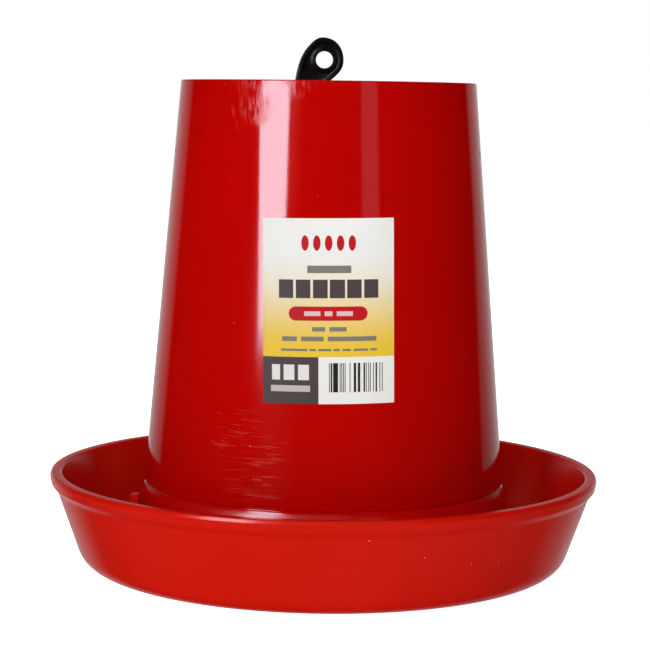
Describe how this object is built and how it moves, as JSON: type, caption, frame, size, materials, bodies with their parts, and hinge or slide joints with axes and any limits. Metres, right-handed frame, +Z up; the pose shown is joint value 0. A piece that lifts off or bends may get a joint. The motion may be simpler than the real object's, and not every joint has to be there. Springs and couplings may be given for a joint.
{
  "type": "gravity poultry feeder",
  "caption": "Gravity poultry feeder: a wide round feed pan, a tapered open hopper standing on posts in it, and a notched hanger bar with a round eye down the middle.",
  "frame": {"origin": "centre of the pan's underside, on the plane that the feeder stands on", "axes": "+Z up along the hopper's axis; -Y is the labelled front; +X is to the right seen from the front"},
  "size_m": [0.3, 0.3, 0.288],
  "materials": {
    "red_polypropylene_pan": "moulded red polypropylene, semi-gloss, with fine scuffs",
    "red_polypropylene_hopper": "moulded red polypropylene, glossy, with fine scuffs",
    "black_polypropylene": "moulded black polypropylene, satin",
    "label_film": "printed film label, satin, white to yellow"
  },
  "bodies": {
    "pan_body": {"pan": "red_polypropylene_pan"},
    "hopper_body": {"hopper": "red_polypropylene_hopper", "bridge": "black_polypropylene", "label": "label_film"},
    "hanger_body": {"hanger_bar": "black_polypropylene", "foot_pin": "black_polypropylene"}
  },
  "joints": [
    {"name": "hopper_height", "type": "slide", "parent": "pan_body", "child": "hopper_body", "axis": [0, 0, 1], "range_m": [0, 0.03]},
    {"name": "hanger_tilt", "type": "hinge", "parent": "pan_body", "child": "hanger_body", "pos_m": [0, 0, 0.0282], "axis": [0, 1, 0], "range_deg": [0, 1]}
  ]
}
